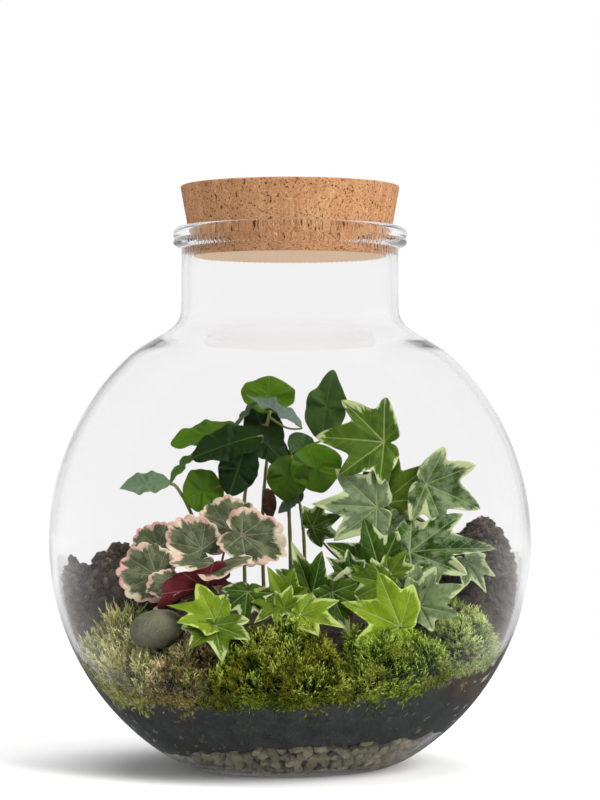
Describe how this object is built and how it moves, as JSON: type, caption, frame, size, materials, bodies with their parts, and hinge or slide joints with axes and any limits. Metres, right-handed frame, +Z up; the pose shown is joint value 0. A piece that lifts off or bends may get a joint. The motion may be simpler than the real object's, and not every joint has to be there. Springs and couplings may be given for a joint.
{
  "type": "glass plant terrarium",
  "caption": "Round glass jar with a wide neck and cork stopper, planted with ivy, saxifrage, coffee seedlings and moss over dark soil and gravel.",
  "frame": {"origin": "centre of the jar's flat foot, on the surface it stands on", "axes": "+Z up through the neck, -Y towards the planted front, +X to the right seen from the front"},
  "size_m": [0.24, 0.24, 0.2895],
  "materials": {
    "glass": "gloss",
    "cork": "matte",
    "gravel": "matte",
    "soil": "matte",
    "pebble": "satin",
    "moss": "matte",
    "dry_moss": "matte",
    "coffee_leaf": "gloss",
    "saxifrage_leaf": "matte",
    "ivy_leaf": "satin"
  },
  "bodies": {
    "root": {"glass_jar": "glass", "cork_stopper": "cork", "gravel_bed": "gravel", "soil_bed": "soil", "river_pebble": "pebble", "moss_left_tuft": "moss", "moss_dry_patch": "dry_moss", "moss_middle_cushion": "moss", "moss_right_cushion": "moss", "moss_light_cushion": "moss", "coffee_seedling_left": "coffee_leaf", "coffee_seedling_middle": "coffee_leaf", "coffee_seedling_right": "coffee_leaf", "coffee_seedling_back": "coffee_leaf", "coffee_seedling_small": "coffee_leaf", "strawberry_saxifrage": "saxifrage_leaf", "ivy_tall_stem": "ivy_leaf", "ivy_right_stem": "ivy_leaf", "ivy_middle_stem": "ivy_leaf", "ivy_left_stem": "ivy_leaf"}
  },
  "joints": []
}
